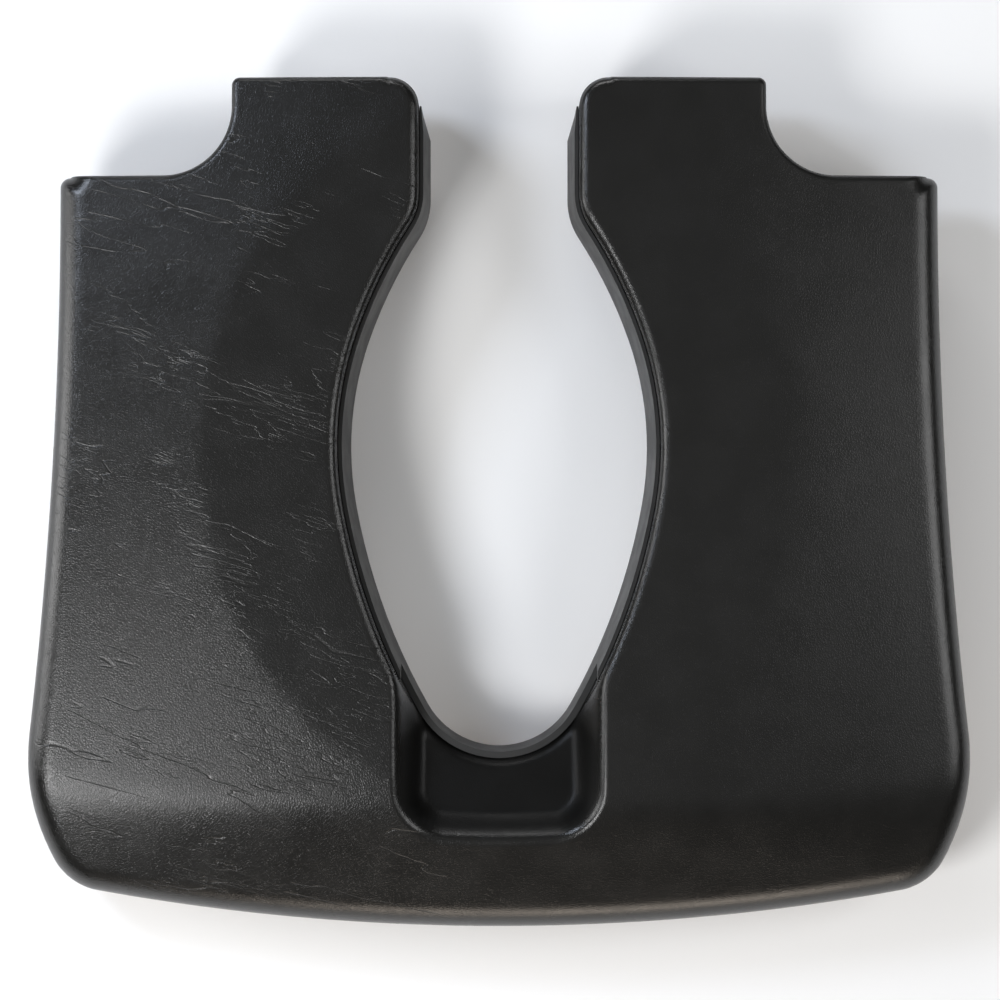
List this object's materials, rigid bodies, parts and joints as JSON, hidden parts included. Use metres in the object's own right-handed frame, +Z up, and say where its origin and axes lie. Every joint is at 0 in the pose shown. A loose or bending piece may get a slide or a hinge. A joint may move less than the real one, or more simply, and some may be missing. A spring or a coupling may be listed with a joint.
{
  "type": "padded commode chair seat",
  "caption": "Padded keyhole seat for a shower and commode chair, open at the rear, with post notches, a front scoop, a waterfall front and snap clips for side tubes.",
  "frame": {"origin": "middle of the whole seat seen from above, at the height of the lowest points of the clips", "axes": "+Z up, +Y towards the open rear of the keyhole, -Y towards the front edge, +X to the right seen from above with the front at the bottom"},
  "size_m": [0.48, 0.4326, 0.0734],
  "materials": {
    "skin": "grained matt black",
    "foam": "open-cell foam",
    "board": "sealed plywood",
    "liner": "smooth satin black",
    "clip": "satin black",
    "steel": "stainless",
    "zinc": "zinc plated",
    "rubber": "matt",
    "eyelet": "nickel plated"
  },
  "bodies": {
    "root": {"seat_skin": "skin", "foam_core": "foam", "base_board": "board", "aperture_liner": "liner", "tube_clip_front_left": "clip", "tube_clip_front_right": "clip", "tube_clip_rear_left": "clip", "tube_clip_rear_right": "clip", "clip_screws": "steel", "clip_washers": "steel", "tee_nuts": "zinc", "liner_screws": "steel", "rubber_buffers": "rubber", "buffer_screws": "steel", "vent_eyelets": "eyelet", "hem_staples": "zinc"}
  },
  "joints": []
}
